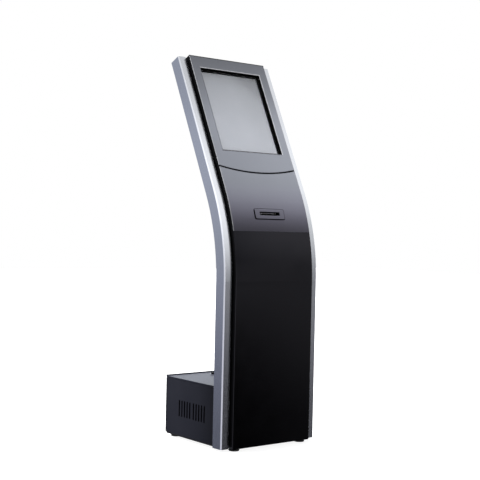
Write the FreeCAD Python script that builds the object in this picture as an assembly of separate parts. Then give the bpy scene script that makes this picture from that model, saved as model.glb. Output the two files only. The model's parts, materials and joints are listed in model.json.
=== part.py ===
import FreeCAD, Part
import math
import os
from FreeCAD import Placement, Rotation, Vector

# Free-standing touchscreen kiosk.  Two bent aluminium rails carry a column of front panels that
# leans back at the top, and a low steel box behind the rails holds the electronics.
#
# Modelling frame: X to the right seen from the front, Y to the rear, Z up, millimetres.
# y = 0 is the front face of the rails in their upright part, z = 0 is the foot of the rails.
# A "station" is the distance from the foot, measured along the front of the panels.
# A "depth" is measured square to the rails' front line, positive into the kiosk.
# save() moves everything into the frame of the finished part: floor at z = 0, centre of the plan.

# ---- rails ---------------------------------------------------------------------------------
WIDTH = 440.0             # over both rails
RAIL_FACE = 34.0          # front face of one rail, bevel included
RAIL_DEPTH = 50.8
RAIL_WALL = 2.5
RAIL_BEVEL = 4.0          # bright bevel on the outer front corner
LOWER_RUN = 597.0         # upright part
BEND_RADIUS = 757.5       # of the rail's front line, centre behind the kiosk
BEND_ANGLE = 25.7         # degrees of backward lean
UPPER_RUN = 563.0         # straight part above the bend
CAP = 2.0                 # visible thickness of the rails' end caps
EDGE = 0.8                # small broken edges on panels and extrusions

# ---- front panels --------------------------------------------------------------------------
PANEL_PROUD = 17.4        # panels stand this far in front of the rails
PANEL_GAP = 5.0           # open joint between panel and rail
SKIN = 1.6                # panel thickness
COLOUR_BREAK = 780.0      # station where the black lower panel meets the grey one
PANEL_TOP = 1507.6        # station of the top edge
TOP_LIP = 3.4             # black lip of the top cap in front of the panels
BUTT_GAP = 0.3            # closed butt joint
SEAM_GAP = 4.8            # open curved joint under the screen
SEAM_LOW = 1013.9         # station of the curved joint at the centre line
SEAM_RADIUS = 789.0

# ---- screen --------------------------------------------------------------------------------
RECESS_WIDTH = 286.5
RECESS_HEIGHT = 354.5
RECESS_BOTTOM = 1101.9    # station of the recess's lower edge
RECESS_CORNER = 4.0
RECESS_DEPTH = 15.0       # from the panel's front to the glass
GLASS = 3.0
LCD_WIDTH = 276.0         # 17 inch, 5:4, turned upright: active area 270 x 338
LCD_HEIGHT = 344.0
LCD_THICK = 6.0
HOUSING_DEPTH = 18.0

# ---- ticket mouth and printer --------------------------------------------------------------
# Heights here are along the slope from TICKET_STATION, x is from the printer's own middle plane.
TICKET_STATION = 847.0
TICKET_X = -4.0           # the printer and its mouth sit a little left of the centre plane
BEZEL_WIDTH = 138.0
BEZEL_Z = (-21.0, 18.0)
BEZEL_CORNER = 5.5
BEZEL_FACE = 1.0          # grey face plate, a little smaller than the flange
BEZEL_BACK = 4.0          # black plastic flange behind it
MOUTH_WIDTH = 95.0
MOUTH_Z = (-7.8, 6.4)
PAPER_SLOT = 42.0         # half width of every slot that the paper passes
SHELF_Z = (-26.0, -24.2)
CHEEK_X = (54.0, 56.0)    # side plates of the printer's chassis
CHASSIS_FLOOR = (-24.0, -22.0)
PRINTER_DEPTH = (9.5, 44.0)
PLATEN_RADIUS = 8.0
SHAFT_RADIUS = 2.5
PLATEN_DEPTH = 18.0       # platen axis, from the rails' front line
PLATEN_RISE = -8.0        # platen axis, along the slope from the mouth
HEAD_DEPTH = (12.0, 24.0)
CUTTER_DEPTH = (-3.0, 9.0)
DRIVE_X = (56.2, 72.0)
BUTTON_AT = (64.0, 4.0)   # x and height of the feed button
BUTTON_RADIUS = 4.0
ROLL_STATION = 748.0
ROLL_DEPTH = 30.0
ROLL_RADIUS = 38.0        # full roll: 38 / 8 is the ratio between platen and roll turns
ROLL_WIDTH = 79.5
ROLL_BORE = 8.5
CRADLE_FLOOR = (-47.0, -45.0)
SHAFT_CLEARANCE = 0.05    # radial, on every running fit

# ---- rear of the column --------------------------------------------------------------------
SHEET = 1.5               # all bent steel covers
BACK_DEPTH = 48.3         # front side of the back covers
DOOR_BOTTOM = 600.0       # stations of the paper door
DOOR_TOP = 904.0
BULGE_BOTTOM = 626.0
BULGE_TOP = 872.0
BULGE_HALF = 150.0
BULGE_DEPTH = 79.5
DOOR_LOCK_STATION = 888.0
CHANNEL_FRONT = 24.0      # depths of the cross members
CHANNEL_BACK = 46.0
CHANNEL_HEIGHT = 30.0
CHANNEL_WALL = 2.0
FRAME_BACK = 20.0         # rear face of the panel frames
CABLE_PASS = ((-176.0, -60.0), (110.0, 160.0))   # x and z of the opening into the box
HARNESS_AT = (-168.0, 35.0)      # x and depth of the wiring
HARNESS_RADIUS = 5.5
HARNESS_RUN = (90.0, 1180.0)     # stations of its two plugs
BOX_MEMBER = 240.0               # stations of the cross members
DOOR_MEMBERS = (575.0, 907.0)
SCREEN_MEMBERS = (1066.0, 1468.0)

# ---- rear box ------------------------------------------------------------------------------
BOX_HALF = 212.8
BOX_FRONT = 52.0
BOX_REAR = 362.0
BOX_BOTTOM = 8.0
BOX_TOP = 220.0
LID_DROP = 5.5            # depth of the lid's turned-down edge
LID_GAP = 0.9             # open joint below that edge
LID_LIP = 4.0             # rear edge of the lid, turned up as a finger lip
CATCH_DEPTH = (318.0, 340.0)   # bar that the lid's lock closes under
REAR_RETURN = 9.5         # depth of the rear panel's turned-in edge
PLATE_BOTTOM = 2.0        # base plate
LOUVRE_LOW = 77.0
LOUVRE_HIGH = 140.0
LOUVRE_WIDTH = 8.0
LOUVRE_PITCH = 16.8
LOUVRE_GROUPS = (114.0, 204.5)   # first slot of each group of five
FOOT_DROP = 9.0           # floor below the foot of the rails
FOOT_RADIUS = 20.0
PAD_TOP = -3.0
STUD_RADIUS = 5.0
FEET = ((-155.0, 8.0), (155.0, 8.0), (-178.0, 338.0), (178.0, 338.0))
ANCHOR_X = 180.0
ANCHOR_Y = (95.0, 295.0)
ANCHOR_RADIUS = 5.5
FAN_X = -110.0
FAN_Z = 112.0
FAN_DEPTH = 25.0
FAN_RADIUS = 38.0
FAN_SPIKE = 2.0
FAN_HUB = 16.0
FAN_BLADES = 7
FAN_PITCH = 38.0          # degrees
INLET_X = 110.0
INLET_Z = 62.0
ROCKER_X = (7.5, 21.5)    # well of the switch, from INLET_X
ROCKER_TIP = 12.0         # degrees to either side
GROMMET_X = 110.0
GROMMET_Z = 130.0
GROMMET_BORE = 8.0
GROMMET_REAR = 365.0

# ---- hinges and locks ----------------------------------------------------------------------
KNUCKLE = 3.5             # knuckle radius
PIN = 1.5                 # hinge pin radius
LEAF = 1.5                # leaf thickness
HINGE_X = 110.0           # middle of each hinge, left and right
HINGE_LENGTH = 42.0
KNUCKLE_GAP = 0.3
LEAF_REACH = 26.0         # height of a fixed leaf
WING = 30.0               # length of a lid leaf
LID_AXIS = (54.8, 223.5)  # y, z
DOOR_AXIS = (54.8, 598.0)
PLUG = 7.0                # lock plug radius
LOCK_BARREL = 9.5
LOCK_FLANGE = 1.8
LOCK_DEPTH = 8.0
CAM_REACH = 30.0
LID_LOCK = (-36.0, 298.0)

# ---- screws --------------------------------------------------------------------------------
SCREW_HEAD = 1.8
COVER_SCREWS = (260.0, 590.0, 922.0, 1208.0, 1488.0)   # stations on the column's back covers
COVER_SCREW_X = 174.0
BOX_SCREW_X = 203.0
BOX_SCREW_Z = (20.0, 200.0)

# ---- values that follow from the ones above ------------------------------------------------
RAIL_IN = WIDTH / 2 - RAIL_FACE
PANEL_HALF = RAIL_IN - PANEL_GAP
PANEL_FRONT = -PANEL_PROUD
PANEL_BACK = PANEL_FRONT + SKIN
PANEL_RADIUS = BEND_RADIUS + PANEL_PROUD
BEND_LENGTH = PANEL_RADIUS * math.radians(BEND_ANGLE)
BEND_END = LOWER_RUN + BEND_LENGTH
RAIL_TOP = BEND_END + UPPER_RUN
GLASS_FRONT = PANEL_FRONT + RECESS_DEPTH
SCREEN_CENTRE = RECESS_BOTTOM + RECESS_HEIGHT / 2
SURROUND_WIDTH = RECESS_WIDTH + 13.5
SURROUND_HEIGHT = RECESS_HEIGHT + 13.5
PLATE_TOP = BOX_BOTTOM
SIDE_TOP = BOX_TOP - LID_DROP - LID_GAP
FAN_FRONT = BOX_REAR - SHEET - FAN_DEPTH
ROCKER_Y = BOX_REAR - 3.5
TO_FRAME = Vector(0, -(PANEL_FRONT + GROMMET_REAR) / 2, FOOT_DROP)
ACROSS = Vector(1, 0, 0)


# ---- helpers -------------------------------------------------------------------------------
def frame_at(station, depth=0.0):
    """Placement at a station: X across, Y into the kiosk, Z up the slope."""
    lean = min(max(station - LOWER_RUN, 0.0), BEND_LENGTH) / PANEL_RADIUS
    radius = BEND_RADIUS - depth
    above = max(station - BEND_END, 0.0)
    y = BEND_RADIUS - radius * math.cos(lean) + above * math.sin(lean)
    z = min(station, LOWER_RUN) + radius * math.sin(lean) + above * math.cos(lean)
    return Placement(Vector(0, y, z), Rotation(ACROSS, -math.degrees(lean)))


def at(shape, station, depth=0.0):
    """Copy of a shape drawn in the local frame, moved to its station."""
    moved = shape.copy()
    moved.Placement = frame_at(station, depth).multiply(moved.Placement)
    return moved


def at_printer(shape, station=TICKET_STATION):
    """Copy of a shape drawn about the printer's middle plane, moved to its station."""
    moved = shape.copy()
    moved.translate(Vector(TICKET_X, 0, 0))
    return at(moved, station)


def block(x, y, z):
    """Box from three (low, high) pairs."""
    return Part.makeBox(x[1] - x[0], y[1] - y[0], z[1] - z[0], Vector(x[0], y[0], z[0]))


def mirrored(shape):
    """The same shape on the other side of the centre plane."""
    return shape.mirror(Vector(0, 0, 0), ACROSS)


def both(shape):
    """A shape and its mirror image, as two solids."""
    return [shape, mirrored(shape)]


def face(points):
    """Flat face in the plan from a list of (x, depth) corners."""
    corners = [Vector(x, depth, 0) for x, depth in points]
    return Part.Face(Part.makePolygon(corners + corners[:1]))


def prism_x(points, x):
    """Solid from a (y, z) outline, extruded between two x positions."""
    corners = [Vector(x[0], y, z) for y, z in points]
    outline = Part.Face(Part.makePolygon(corners + corners[:1]))
    return outline.extrude(Vector(x[1] - x[0], 0, 0))


def rounded(width, height, radius, depth, centre=(0.0, 0.0)):
    """Plate in the local X-Z plane with rounded corners, between two depths."""
    x, z = centre
    return rounded_between((x - width / 2, x + width / 2), depth, (z - height / 2, z + height / 2), radius)


def rounded_between(x, depth, z, radius):
    """The same plate from its edges."""
    plate = block(x, depth, z)
    corners = [e for e in plate.Edges if abs(e.tangentAt(e.FirstParameter).y) > 0.99]
    return plate.makeFillet(radius, corners)


def rod(radius, start, end):
    """Cylinder between two points."""
    low = Vector(*start)
    along = Vector(*end) - low
    return Part.makeCylinder(radius, along.Length, low, along)


def bevel(shape, size, wanted):
    """Chamfer the edges whose middle point satisfies a test."""
    chosen = []
    for edge in shape.Edges:
        middle = edge.valueAt((edge.FirstParameter + edge.LastParameter) / 2)
        if wanted(edge, middle):
            chosen.append(edge)
    return shape.makeChamfer(size, chosen)


def bend(section, start, end):
    """Sweep a section of (x, depth) along the rails' line, between two stations."""
    pieces = []
    if start < LOWER_RUN:
        foot = section.copy()
        foot.translate(Vector(0, 0, start))
        pieces.append(foot.extrude(Vector(0, 0, min(end, LOWER_RUN) - start)))
    if start < BEND_END and end > LOWER_RUN:
        low = max(start, LOWER_RUN)
        angle = math.degrees((min(end, BEND_END) - low) / PANEL_RADIUS)
        centre = Vector(0, BEND_RADIUS, LOWER_RUN)
        pieces.append(at(section, low).revolve(centre, -ACROSS, angle))
    if end > BEND_END:
        low = max(start, BEND_END)
        slope = frame_at(low).Rotation.multVec(Vector(0, 0, 1))
        pieces.append(at(section, low).extrude(slope * (end - low)))
    whole = pieces[0]
    for piece in pieces[1:]:
        whole = whole.fuse(piece)
    return whole.removeSplitter()


def strip(half_width, front, back):
    """Section of a plain skin, (x, depth)."""
    return face([(-half_width, front), (half_width, front), (half_width, back), (-half_width, back)])


def cut_all(shape, tools):
    """Cut a list of tools away."""
    for tool in tools:
        shape = shape.cut(tool)
    return shape


def fuse_all(shapes):
    """Join a list of touching shapes into one solid."""
    whole = shapes[0]
    for shape in shapes[1:]:
        whole = whole.fuse(shape)
    return whole.removeSplitter()


def save(node, solids):
    """Write one node, moved into the finished part's frame."""
    shape = Part.makeCompound(solids) if len(solids) > 1 else solids[0].copy()
    shape.translate(TO_FRAME)
    if not shape.isValid():
        print("invalid shape:", node)
    print("%-24s %2d solid(s)  %9.0f mm3" % (node, len(shape.Solids), shape.Volume))
    shape.exportStep("parts/%s.step" % node)


# ---- rails and frame -----------------------------------------------------------------------
def rail_outline(inset):
    """Outline of the left rail's section, shrunk by an inset."""
    inner = -RAIL_IN - inset
    outer = -WIDTH / 2 + inset
    front = inset
    back = RAIL_DEPTH - inset
    corner = RAIL_BEVEL if inset == 0 else RAIL_BEVEL - 1.0
    return face([
        (inner - EDGE, front), (outer + corner, front), (outer, front + corner),
        (outer, back - EDGE), (outer + EDGE, back), (inner - EDGE, back),
        (inner, back - EDGE), (inner, front + EDGE),
    ])


def rail_left():
    hollow = rail_outline(0).cut(rail_outline(RAIL_WALL))
    return bend(hollow.Faces[0], CAP, RAIL_TOP - CAP)


def rail_caps():
    """End caps, each with a plug that sits inside the hollow rail."""
    plug = 8.0
    rim = RAIL_TOP - CAP
    cover = rail_outline(0)
    core = rail_outline(RAIL_WALL + 0.2)
    bottom = fuse_all([bend(cover, 0, CAP), bend(core, CAP, CAP + plug)])
    top = fuse_all([bend(cover, rim, RAIL_TOP), bend(core, rim - plug, rim)])
    return both(bottom) + both(top)


def base_plate():
    """Steel plate under the column and the box, drilled for the feet and for floor anchors."""
    front = block((-PANEL_HALF, PANEL_HALF), (PANEL_BACK + 1, BOX_FRONT), (PLATE_BOTTOM, PLATE_TOP))
    rear = block((-BOX_HALF + 2, BOX_HALF - 2), (RAIL_DEPTH + 0.4, BOX_REAR - 4), (PLATE_BOTTOM, PLATE_TOP))
    plate = fuse_all([front, rear])
    anchors = [
        rod(ANCHOR_RADIUS, (x, y, PLATE_BOTTOM - 1), (x, y, PLATE_TOP + 1))
        for x in (-ANCHOR_X, ANCHOR_X) for y in ANCHOR_Y
    ]
    studs = [rod(STUD_RADIUS, (x, y, PLATE_BOTTOM - 1), (x, y, PLATE_TOP + 1)) for x, y in FEET]
    return cut_all(plate, anchors + studs)


def foot_pad(x, y):
    """Round plastic pad with bevelled rims."""
    pad = rod(FOOT_RADIUS, (x, y, -FOOT_DROP), (x, y, PAD_TOP))
    return bevel(pad, 1.5, lambda edge, middle: hasattr(edge.Curve, "Radius"))


def hexagon(radius):
    """Flat hexagonal face in the plan."""
    turns = [math.radians(60 * i) for i in range(6)]
    return face([(radius * math.cos(turn), radius * math.sin(turn)) for turn in turns])


def foot_stud(x, y):
    """Threaded stud with its lock nut on top of the base plate."""
    stud = rod(STUD_RADIUS, (x, y, PAD_TOP), (x, y, PLATE_TOP + 9.0))
    nut = hexagon(9.8).extrude(Vector(0, 0, 6.0))
    nut.translate(Vector(x, y, PLATE_TOP))
    return fuse_all([stud, nut])


def cross_member(station):
    """Steel channel between the rails, open downwards, with a hole for the wiring."""
    span = (-RAIL_IN, RAIL_IN)
    top = block(span, (CHANNEL_FRONT, CHANNEL_BACK), (CHANNEL_HEIGHT - CHANNEL_WALL, CHANNEL_HEIGHT))
    front = block(span, (CHANNEL_FRONT, CHANNEL_FRONT + CHANNEL_WALL), (0, CHANNEL_HEIGHT))
    back = block(span, (CHANNEL_BACK - CHANNEL_WALL, CHANNEL_BACK), (0, CHANNEL_HEIGHT))
    channel = fuse_all([top, front, back])
    x, depth = HARNESS_AT
    hole = rod(HARNESS_RADIUS + 2, (x, depth, CHANNEL_HEIGHT - 5), (x, depth, CHANNEL_HEIGHT + 5))
    return at(channel.cut(hole), station)


def panel_frame_left():
    """Black C-section behind the left edge of the front panels."""
    wall = 2.5
    lip = 21.0
    back = FRAME_BACK
    outer = -PANEL_HALF
    section = face([
        (outer, PANEL_BACK), (outer + lip, PANEL_BACK), (outer + lip, PANEL_BACK + 2),
        (outer + wall, PANEL_BACK + 2), (outer + wall, back - 2), (outer + lip, back - 2),
        (outer + lip, back), (outer, back),
    ])
    return bend(section, PLATE_TOP + 0.2, PANEL_TOP - TOP_LIP - 0.2)


# ---- front panels --------------------------------------------------------------------------
def skin_section():
    """Panel section with broken front edges."""
    return face([
        (-PANEL_HALF, PANEL_BACK), (-PANEL_HALF, PANEL_FRONT + EDGE), (-PANEL_HALF + EDGE, PANEL_FRONT),
        (PANEL_HALF - EDGE, PANEL_FRONT), (PANEL_HALF, PANEL_FRONT + EDGE), (PANEL_HALF, PANEL_BACK),
    ])


def seam_cylinder(radius):
    """Cylinder square to the panel whose lower side is the curved joint under the screen."""
    centre = SEAM_LOW + SEAM_RADIUS - BEND_END
    return at(rod(radius, (0, PANEL_FRONT - 20, centre), (0, PANEL_BACK + 20, centre)), BEND_END)


def on_arc(radius):
    """Test for the panel's front edge along the curved joint."""
    front = frame_at(BEND_END).inverse()

    def wanted(edge, middle):
        round_edge = hasattr(edge.Curve, "Radius") and abs(edge.Curve.Radius - radius) < 0.5
        return round_edge and abs(front.multVec(middle).y - PANEL_FRONT) < 0.05
    return wanted


def lower_panel():
    return bend(skin_section(), 0, COLOUR_BREAK - BUTT_GAP / 2)


def mid_panel():
    """Grey panel between the colour break and the curved joint, with the printer's cut-out."""
    panel = bend(skin_section(), COLOUR_BREAK + BUTT_GAP / 2, 1060.0)
    radius = SEAM_RADIUS + SEAM_GAP / 2
    panel = panel.cut(seam_cylinder(radius))
    panel = bevel(panel, EDGE, on_arc(radius))
    cut_out = rounded(124, 31, 3, (PANEL_FRONT - 5, PANEL_BACK + 5))
    return panel.cut(at_printer(cut_out))


def screen_bezel():
    """Flat grey panel around the screen; its lower edge follows the curved joint."""
    panel = bend(skin_section(), 990.0, PANEL_TOP - TOP_LIP)
    radius = SEAM_RADIUS - SEAM_GAP / 2
    panel = panel.common(seam_cylinder(radius))
    panel = bevel(panel, EDGE, on_arc(radius))
    opening = rounded(RECESS_WIDTH, RECESS_HEIGHT, RECESS_CORNER, (PANEL_FRONT - 5, PANEL_BACK + 5))
    panel = panel.cut(at(opening, SCREEN_CENTRE))
    local = frame_at(SCREEN_CENTRE).inverse()

    def around_opening(edge, middle):
        point = local.multVec(middle)
        inside = abs(point.x) < RECESS_WIDTH / 2 + 1 and abs(point.z) < RECESS_HEIGHT / 2 + 1
        return inside and abs(point.y - PANEL_FRONT) < 0.05
    return bevel(panel, EDGE, around_opening)


def top_cap():
    """Black cap that closes the column between the front panels and the back cover."""
    cover = block((-PANEL_HALF, PANEL_HALF), (PANEL_FRONT, BACK_DEPTH + SHEET), (-TOP_LIP, 0))
    cover = bevel(cover, 0.5, lambda edge, middle: abs(middle.z) < 0.01)
    tab = block((-120, 120), (PANEL_BACK + 4, CHANNEL_FRONT - 2), (-TOP_LIP - 6, -TOP_LIP))
    return at(fuse_all([cover, tab]), PANEL_TOP)


# ---- screen --------------------------------------------------------------------------------
def screen_surround():
    """Black ring that forms the walls of the screen recess."""
    depth = (PANEL_BACK, GLASS_FRONT)
    outer = rounded(SURROUND_WIDTH, SURROUND_HEIGHT, RECESS_CORNER, depth)
    inner = rounded(RECESS_WIDTH, RECESS_HEIGHT, RECESS_CORNER, (depth[0] - 1, depth[1] + 1))
    return at(outer.cut(inner), SCREEN_CENTRE)


def touch_glass():
    depth = (GLASS_FRONT, GLASS_FRONT + GLASS)
    return at(rounded(SURROUND_WIDTH, SURROUND_HEIGHT, RECESS_CORNER, depth), SCREEN_CENTRE)


def lcd_panel():
    front = GLASS_FRONT + GLASS + 0.3
    size_x = (-LCD_WIDTH / 2, LCD_WIDTH / 2)
    size_z = (-LCD_HEIGHT / 2, LCD_HEIGHT / 2)
    return at(block(size_x, (front, front + LCD_THICK), size_z), SCREEN_CENTRE)


def lcd_housing():
    """Steel pan behind the display, open towards the glass, with vents in its back."""
    front = GLASS_FRONT + GLASS
    back = front + HOUSING_DEPTH
    pan = rounded(SURROUND_WIDTH, SURROUND_HEIGHT - 2, RECESS_CORNER, (front, back))
    room = rounded(LCD_WIDTH + 2, LCD_HEIGHT + 2, 2, (front - 1, back - 1.2))
    vents = [
        block((-90 + 22 * i, -82 + 22 * i), (back - 5, back + 1), (60, 120))
        for i in range(9)
    ]
    return at(cut_all(pan.cut(room), vents), SCREEN_CENTRE)


def monitor_bracket():
    """Steel angle beside the display, screwed to the two cross members behind it."""
    low = SCREEN_CENTRE - 190.0
    x = -SURROUND_WIDTH / 2 - 0.2
    plate = block((x - 2, x), (GLASS_FRONT, CHANNEL_FRONT), (low - SCREEN_CENTRE, 190))
    foot = block((x - 7, x), (CHANNEL_FRONT - 2, CHANNEL_FRONT), (low - SCREEN_CENTRE, 190))
    return at(fuse_all([plate, foot]), SCREEN_CENTRE)


# ---- ticket mouth --------------------------------------------------------------------------
def bezel_plate(inset, depth):
    """Rounded plate in the outline of the ticket bezel."""
    half = BEZEL_WIDTH / 2 - inset
    height = (BEZEL_Z[0] + inset, BEZEL_Z[1] - inset)
    return rounded_between((-half, half), depth, height, BEZEL_CORNER - inset)


def mouth(depth):
    """Rounded block in the outline of the ticket mouth."""
    return rounded_between((-MOUTH_WIDTH / 2, MOUTH_WIDTH / 2), depth, MOUTH_Z, 2.0)


def ticket_bezel():
    """Grey face plate around the ticket mouth, bevelled inside and outside."""
    front = PANEL_FRONT - BEZEL_BACK - BEZEL_FACE
    depth = (front, front + BEZEL_FACE)
    plate = bezel_plate(0.8, depth).cut(mouth((front - 1, front + 5)))
    plate = bevel(plate, 0.4, lambda edge, middle: abs(middle.y - front) < 0.01)
    return at_printer(plate)


def ticket_throat():
    """Black flange under the face plate, and the guide that narrows to the paper's slot."""
    front = PANEL_FRONT - BEZEL_BACK
    back = CUTTER_DEPTH[0] - 0.4
    flange = bezel_plate(0.0, (front, PANEL_FRONT))
    guide = block((-61, 61), (PANEL_FRONT, back), (-14.5, 14.5))
    slot = block((-PAPER_SLOT - 2, PAPER_SLOT + 2), (back - 5, back + 1), (-2.0, 2.5))
    return at_printer(cut_all(fuse_all([flange, guide]), [mouth((front - 1, back - 3)), slot]))


# ---- printer -------------------------------------------------------------------------------
def ears(low, high):
    """Flat tabs of a cross shelf that bolt behind the two curved panel frames."""
    reach = max(abs(low), abs(high))
    front = FRAME_BACK + reach ** 2 / (2 * (BEND_RADIUS - FRAME_BACK)) + 0.05
    return both(block((-178, -158), (front, front + 2.0), (low, high)))


def paper_window(z):
    """Cutter for the slot that lets the paper up through a shelf."""
    x = (TICKET_X - PAPER_SLOT, TICKET_X + PAPER_SLOT)
    return block(x, (12, 30), (z[0] - 1, z[1] + 1))


def printer_shelf():
    """Steel shelf under the printer, slotted for the paper."""
    shelf = block((-160, 160), (-8, PRINTER_DEPTH[1]), SHELF_Z)
    return at(fuse_all([shelf.cut(paper_window(SHELF_Z))] + ears(SHELF_Z[0], 10)), TICKET_STATION)


def along_platen(radius, low, high):
    """Rod on the platen's axis between two x positions."""
    return rod(radius, (low, PLATEN_DEPTH, PLATEN_RISE), (high, PLATEN_DEPTH, PLATEN_RISE))


def printer_chassis():
    """Steel U-channel with the bearings of the platen shaft in its two cheeks."""
    floor = block((-CHEEK_X[1], CHEEK_X[1]), PRINTER_DEPTH, CHASSIS_FLOOR)
    cheeks = both(block((-CHEEK_X[1], -CHEEK_X[0]), PRINTER_DEPTH, (CHASSIS_FLOOR[0], 18)))
    slot = block((-PAPER_SLOT, PAPER_SLOT), (12, 30), (CHASSIS_FLOOR[0] - 1, CHASSIS_FLOOR[1] + 1))
    bearing = along_platen(SHAFT_RADIUS + SHAFT_CLEARANCE, -60, 60)
    return at_printer(cut_all(fuse_all([floor] + cheeks), [slot, bearing]))


def platen_roller():
    rubber = along_platen(PLATEN_RADIUS, -41, 41)
    return at_printer(rubber.cut(along_platen(SHAFT_RADIUS, -50, 50)))


def platen_shaft():
    return at_printer(along_platen(SHAFT_RADIUS, -58, 62))


def print_head():
    """Thermal head with its finned cooling block, just above the platen."""
    start = HEAD_DEPTH[0]
    head = block((-43, 43), HEAD_DEPTH, (0.5, 4.0))
    fins = [block((-43, 43), (start + 3 * i, start + 3 * i + 1.5), (4.0, 11.0)) for i in range(4)]
    bridge = block((-CHEEK_X[0] + 0.2, CHEEK_X[0] - 0.2), HEAD_DEPTH, (11.0, 13.0))
    return at_printer(fuse_all([head, bridge] + fins))


def cutter_frame():
    """Cutter housing: a paper slot crossed by the blade's guide."""
    low, high = CUTTER_DEPTH
    body = block((-CHEEK_X[0] + 0.2, CHEEK_X[0] - 0.2), CUTTER_DEPTH, (-12, 17))
    slot = block((-PAPER_SLOT, PAPER_SLOT), (low - 1, high + 1), (-1.2, 1.8))
    guide = block((-44.5, 44.5), (2, 4), (-5, 14.5))
    return at_printer(cut_all(body, [slot, guide]))


def cutter_blade():
    """Guillotine blade; it drops across the paper slot."""
    return at_printer(prism_x([(2.3, 3.4), (3.7, 2.4), (3.7, 13.5), (2.3, 13.5)], (-44, 44)))


def printer_drive():
    """Gearbox cover and motor beside the printer, with a well for the feed button."""
    low, high = DRIVE_X
    x, z = BUTTON_AT
    rear = PRINTER_DEPTH[1]
    cover = block(DRIVE_X, (8, rear), (-22, 16))
    room = block((low, high - 1.5), (9.5, 32), (-20.5, 14.5))
    well = rod(BUTTON_RADIUS + 0.3, (x, 36, z), (x, rear + 1, z))
    motor = rod(9.0, (high, 26, -6), (high + 24, 26, -6))
    return at_printer(fuse_all([cover.cut(room), motor]).cut(well))


def feed_button():
    x, z = BUTTON_AT
    return at_printer(rod(BUTTON_RADIUS, (x, 39, z), (x, PRINTER_DEPTH[1] + 3, z)))


def along_roll(radius, half):
    """Rod on the paper roll's axis, from -half to half."""
    return rod(radius, (-half, ROLL_DEPTH, 0), (half, ROLL_DEPTH, 0))


def roll_cradle():
    """Steel bracket with two arms that hold the spindle of the paper roll."""
    low = CRADLE_FLOOR[0]
    floor = block((-160, 160), (-8, 46), CRADLE_FLOOR)
    arms = both(block((-46, -44), (12, 46), (low, 12)))
    for arm in arms:
        arm.translate(Vector(TICKET_X, 0, 0))
    hole = along_roll(ROLL_BORE - SHAFT_CLEARANCE, 60)
    return at(fuse_all([floor] + arms + ears(low, -15)).cut(hole), ROLL_STATION)


def roll_spindle():
    return at_printer(along_roll(ROLL_BORE - SHAFT_CLEARANCE, 48), ROLL_STATION)


def paper_roll():
    half = ROLL_WIDTH / 2
    return at_printer(along_roll(ROLL_RADIUS, half).cut(along_roll(ROLL_BORE, half + 1)), ROLL_STATION)


# ---- rear of the column --------------------------------------------------------------------
def back_section():
    return strip(RAIL_IN - 2, BACK_DEPTH, BACK_DEPTH + SHEET)


def column_back_lower():
    """Back cover down to the base plate, with an opening for the wiring into the box."""
    cover = bend(back_section(), BOX_BOTTOM + 1, DOOR_BOTTOM - 4)
    x, z = CABLE_PASS
    return cover.cut(block(x, (BACK_DEPTH - 1, BACK_DEPTH + SHEET + 1), z))


def column_back_upper():
    """Back cover behind the screen, with two rows of vents."""
    cover = bend(back_section(), DOOR_TOP + 3, PANEL_TOP - TOP_LIP - 0.3)
    vents = []
    for row in (-60.0, 110.0):
        for i in range(13):
            x = -96.0 + 16.0 * i
            slot = rounded(5, 44, 2.4, (BACK_DEPTH - 5, BACK_DEPTH + 5), (x, row))
            vents.append(at(slot, SCREEN_CENTRE))
    return cut_all(cover, vents)


def printer_door():
    """Bulged cover over the paper roll, hinged along its lower edge."""
    frame = bend(back_section(), DOOR_BOTTOM, DOOR_TOP)
    room = bend(strip(BULGE_HALF - SHEET, BACK_DEPTH - 1, BULGE_DEPTH - SHEET),
                BULGE_BOTTOM + SHEET, BULGE_TOP - SHEET)
    bulge = bend(strip(BULGE_HALF, BACK_DEPTH, BULGE_DEPTH), BULGE_BOTTOM, BULGE_TOP)
    door = frame.fuse(bulge).removeSplitter().cut(room)
    hole = rod(LOCK_BARREL + 0.1, (0, BACK_DEPTH - 5, 0), (0, BACK_DEPTH + 5, 0))
    return door.cut(at(hole, DOOR_LOCK_STATION))


# ---- hinges --------------------------------------------------------------------------------
def knuckle(axis, x):
    """Hinge knuckle between two x positions, bored for the pin."""
    y, z = axis
    barrel = rod(KNUCKLE, (x[0], y, z), (x[1], y, z))
    return barrel.cut(rod(PIN + SHAFT_CLEARANCE, (x[0] - 1, y, z), (x[1] + 1, y, z)))


def fixed_leaf(axis, centre):
    """Leaf on the column's back: two end knuckles, with the pin as its own solid."""
    y, z = axis
    low = centre - HINGE_LENGTH / 2
    high = centre + HINGE_LENGTH / 2
    third = HINGE_LENGTH / 3 - KNUCKLE_GAP
    face_y = BACK_DEPTH + SHEET
    below = axis is DOOR_AXIS
    plate_z = (z - LEAF_REACH, z + LEAF / 2) if below else (z - LEAF / 2, z + LEAF_REACH)
    plates = []
    for x in ((low, low + third), (high - third, high)):
        arm = block(x, (face_y, face_y + LEAF), plate_z)
        foot = block(x, (face_y, y), (z - LEAF / 2, z + LEAF / 2))
        bore = rod(PIN + SHAFT_CLEARANCE, (x[0] - 1, y, z), (x[1] + 1, y, z))
        plates.append(fuse_all([knuckle(axis, x), arm, foot]).cut(bore))
    outer = (z - LEAF_REACH, z - 8) if below else (z + 8, z + LEAF_REACH)
    plates.append(block((low, high), (face_y, face_y + LEAF), outer))
    return fuse_all(plates)


def hinge_pin(axis, centre):
    y, z = axis
    half = HINGE_LENGTH / 2
    return rod(PIN, (centre - half, y, z), (centre + half, y, z))


def hinge_frames():
    """The fixed halves of all four hinges, and their pins."""
    solids = []
    for axis in (LID_AXIS, DOOR_AXIS):
        for centre in (-HINGE_X, HINGE_X):
            solids.append(fixed_leaf(axis, centre))
            solids.append(hinge_pin(axis, centre))
    return solids


def middle_third(centre):
    """Span of the moving knuckle, clear of the two fixed ones."""
    half = HINGE_LENGTH / 6 - KNUCKLE_GAP
    return (centre - half, centre + half)


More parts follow.
